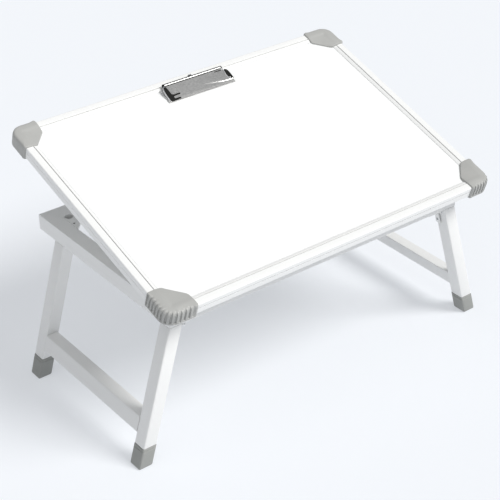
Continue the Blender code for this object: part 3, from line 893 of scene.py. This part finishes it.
# board hinges: a lug under the board between the two ears of a bracket on the front rail
HINGE_X = 150.0
LUG_HALF, EAR_START, BRACKET_HALF = 7.0, 7.35, 14.0
KNUCKLE = 4.4
SOLE_LOW, SOLE_TOP, SOLE_DEEP = 194.8, 196.0, 8.6
EAR_FOOT = 195.6                  # the ears start inside the bracket's sole
HINGE_PIN_HALF = 15.0
HINGE_SCREWS, HINGE_SCREW_RADIUS = (-11.5, 12.0), 2.2
LUG = [(-16.0, 11.6), (-16.0, SCREW_FACE), (-5.4, SCREW_FACE), (-4.6, 9.4), (-KNUCKLE, 8.0)]
LUG += arc(0.0, 0.0, KNUCKLE, 180, 360, 20)
LUG += [(KNUCKLE, 8.0), (4.6, 9.4), (5.4, SCREW_FACE), (18.0, SCREW_FACE), (18.0, 11.6)]

for side, sign in SIDES:
    x, y = sign * HINGE_X, AXIS_Y
    bm = holed(LUG, (circle(0, 0, BORE_RADIUS),), x - LUG_HALF, x + LUG_HALF, "X")
    steel(f"board_hinge_{side}_lug", bm, "board", f"board_hinge_{side}", board)
    for k, v in enumerate(HINGE_SCREWS):
        name = f"board_hinge_{side}_screw{k}"
        screw(name, x, v, SCREW_FACE, (0, 0, -1), "board", board, HINGE_SCREW_RADIUS)
    sole = rounded(x - BRACKET_HALF, x + BRACKET_HALF, y - SOLE_DEEP, y + SOLE_DEEP, 1.6)
    bm = pushed(sole, SOLE_LOW, SOLE_TOP, "Z", 0.2)
    ear = [(y - KNUCKLE, EAR_FOOT), (y + KNUCKLE, EAR_FOOT)]
    ear += arc(y, AXIS_Z, KNUCKLE, 0, 180, 20)
    bore = circle(y, AXIS_Z, BORE_RADIUS)
    for near, far in ((x - BRACKET_HALF, x - EAR_START), (x + EAR_START, x + BRACKET_HALF)):
        holed(ear, (bore,), near, far, "X", bm=bm)
    steel(f"base_hinge_{side}_bracket", bm, "base", f"base_hinge_{side}")
    bm = pushed(circle(y, AXIS_Z, PIN_RADIUS), x - HINGE_PIN_HALF, x + HINGE_PIN_HALF, "X", 0.4)
    steel(f"hinge_pin_{side}_rod", bm, "base", f"hinge_pin_{side}")

# folding stay: two arms from brackets under the board to a rod that slides in two tracks
STAY_TILT = -math.radians(23.7)
SC, SS = math.cos(STAY_TILT), math.sin(STAY_TILT)
PIVOT_V, PIVOT_W = 137.6, 6.0     # the arms' pins, in the board frame
PIVOT = board(0.0, PIVOT_V, PIVOT_W)
LONG = 118.55                     # from the arms' pins to the rod
ARM_X, TRACK_X = 112.0, 120.0
ARM_HALF, ARM_ROUND = 1.25, 4.6
KNOB_RADIUS, KNURL_DEPTH, KNURL_POINTS = 5.4, 0.45, 72
ROD_RADIUS, ROD_HALF = 2.5, 130.0
# from the middle of each arm: its bracket and its pin inwards and outwards, the screws, the knob
BRACKET_FROM, BRACKET_TO = -8.0, -1.7
STAY_PIN_FROM, STAY_PIN_TO = -8.6, 2.4
BRACKET_SCREW_X, BRACKET_SCREWS = -4.9, (128.0, 147.5)
KNOB_FROM, KNOB_TO = 11.2, 17.2
TRACK_HALF, TRACK_SLOT_RADIUS = 1.0, 3.3
SLOT_FRONT, SLOT_BACK = AXIS_Y + 190.0, AXIS_Y + 260.0    # ends of the tracks' slots


def stay(x, a, b):
    """Stay frame (across, along the arm, square to it) to the row frame, mm."""
    return (x, PIVOT[1] + a * SC - b * SS, PIVOT[2] + a * SS + b * SC)


BRACKET = [(123.6, 11.6), (123.6, SCREW_FACE), (133.0, SCREW_FACE), (133.5, PIVOT_W)]
BRACKET += arc(PIVOT_V, PIVOT_W, 4.0, 194, 346, 14)
BRACKET += [(141.7, PIVOT_W), (142.2, SCREW_FACE), (151.6, SCREW_FACE), (151.6, 11.6)]
BAR = arc(0.0, 0.0, ARM_ROUND, 90, 270, 16) + arc(LONG, 0.0, ARM_ROUND, -90, 90, 16)
KNURL = []                        # outline of the knurled knobs
for i in range(KNURL_POINTS):
    t = 2 * math.pi * i / KNURL_POINTS
    radius = KNOB_RADIUS - KNURL_DEPTH * (i % 4 < 2)
    KNURL.append((LONG + radius * math.cos(t), radius * math.sin(t)))
TRACK_SLOT = arc(SLOT_FRONT, AXIS_Z, TRACK_SLOT_RADIUS, 90, 270, 14)
TRACK_SLOT += arc(SLOT_BACK, AXIS_Z, TRACK_SLOT_RADIUS, -90, 90, 14)
TRACK = [
    (SLOT_FRONT - 5.0, 206.6), (SLOT_FRONT - 6.0, 205.6), (SLOT_FRONT - 6.0, 196.4),
    (SLOT_FRONT - 5.0, 195.4), (AXIS_Y + 226.0, 178.0), (AXIS_Y + 247.0, 178.0),
    (AXIS_Y + 247.0, 194.8), (AXIS_Y + 266.0, 194.8), (AXIS_Y + 266.0, 205.6),
    (AXIS_Y + 265.0, 206.6),
]

for side, sign in SIDES:
    x = sign * ARM_X
    near, far = sorted((x + sign * BRACKET_FROM, x + sign * BRACKET_TO))
    bm = holed(BRACKET, (circle(PIVOT_V, PIVOT_W, BORE_RADIUS),), near, far, "X")
    steel(f"stay_bracket_{side}_lug", bm, "board", f"stay_bracket_{side}", board)
    near, far = sorted((x + sign * STAY_PIN_FROM, x + sign * STAY_PIN_TO))
    bm = pushed(circle(PIVOT_V, PIVOT_W, PIN_RADIUS), near, far, "X", 0.4)
    steel(f"stay_pin_{side}_rod", bm, "board", f"stay_pin_{side}", board)
    for k, v in enumerate(BRACKET_SCREWS):
        name = f"stay_bracket_{side}_screw{k}"
        screw(name, x + sign * BRACKET_SCREW_X, v, SCREW_FACE, (0, 0, -1), "board", board)
    bm = pushed(BAR, x - ARM_HALF, x + ARM_HALF, "X", 0.3)
    steel(f"stay_arm_{side}_bar", bm, "stay", f"stay_arm_{side}", stay)
    near, far = sorted((x + sign * KNOB_FROM, x + sign * KNOB_TO))
    bm = pushed(KNURL, near, far, "X", 0.6, 3)
    name = f"stay_knob_{side}"
    finish_mesh(f"{name}_grip", bm, BLACK, "stay", (name,), stay)
    a = sign * TRACK_X
    bm = holed(TRACK, (TRACK_SLOT,), a - TRACK_HALF, a + TRACK_HALF, "X", 0.2)
    steel(f"stay_track_{side}_plate", bm, "base", f"stay_track_{side}")
bm = pushed(circle(LONG, 0.0, ROD_RADIUS), -ROD_HALF, ROD_HALF, "X", 0.5)
steel("stay_rod_bar", bm, "stay", "stay_rod", stay)

# ---------------------------------------------------------------- stage, light and camera

STUDIO_COLOUR = (0.93, 0.96, 1.0, 1.0)
FLOOR_HALF, FLOOR_Z = 30, -0.0002       # metres

floor_mesh = bpy.data.meshes.new("floor")
corners = ((-1, -1), (1, -1), (1, 1), (-1, 1))
spots = [(a * FLOOR_HALF, b * FLOOR_HALF, FLOOR_Z) for a, b in corners]
floor_mesh.from_pydata(spots, [], [(0, 1, 2, 3)])
floor = bpy.data.objects.new("floor", floor_mesh)
bpy.context.scene.collection.objects.link(floor)
floor_made = Nodes("floor_pale", (0.46, 0.47, 0.49), 0.8)
floor_made.set("Specular IOR Level", 0.1)
floor_made.set("Emission Color", STUDIO_COLOUR)
floor_made.set("Emission Strength", 0.44)
floor_mesh.materials.append(floor_made.mat)

world = bpy.data.worlds.new("studio")
bpy.context.scene.world = world
world.use_nodes = True
backdrop = world.node_tree.nodes["Background"]
backdrop.inputs["Color"].default_value = STUDIO_COLOUR
backdrop.inputs["Strength"].default_value = 0.29


def soft_sun(name, towards, strength, spread, colour):
    """A sun in the direction given, seen from the object, spread over an angle in degrees."""
    data = bpy.data.lights.new(name, "SUN")
    data.energy = strength
    data.angle = math.radians(spread)
    data.color = colour
    made = bpy.data.objects.new(name, data)
    made.rotation_euler = Vector(towards).to_track_quat("Z", "Y").to_euler()
    bpy.context.scene.collection.objects.link(made)


soft_sun("key", (0.38, -0.56, 0.74), strength=2.82, spread=26.0, colour=(1.0, 0.995, 0.98))
soft_sun("fill", (-0.5, -0.15, 0.85), strength=0.5, spread=60.0, colour=(1.0, 1.0, 1.0))

YAW, PITCH, ROLL = math.radians(-37.2871), math.radians(-31.4787), math.radians(-0.7402)
CAMERA_SPOT = (-0.93808, -1.21988, 1.07442)     # metres
LENS, SENSOR = 104.399, 36.0

level = math.cos(PITCH)
forward = Vector((-math.sin(YAW) * level, math.cos(YAW) * level, math.sin(PITCH)))
right = Vector((math.cos(YAW), math.sin(YAW), 0.0))
above = right.cross(forward)
right_turned = math.cos(ROLL) * right + math.sin(ROLL) * above
above_turned = -math.sin(ROLL) * right + math.cos(ROLL) * above
camera_data = bpy.data.cameras.new("camera")
camera_data.sensor_width = SENSOR
camera_data.lens = LENS
camera = bpy.data.objects.new("camera", camera_data)
bpy.context.scene.collection.objects.link(camera)
facing = Matrix((right_turned, above_turned, -forward)).transposed().to_4x4()
facing.translation = Vector(CAMERA_SPOT)
camera.matrix_world = facing
bpy.context.scene.camera = camera
bpy.context.scene.view_settings.view_transform = "Standard"
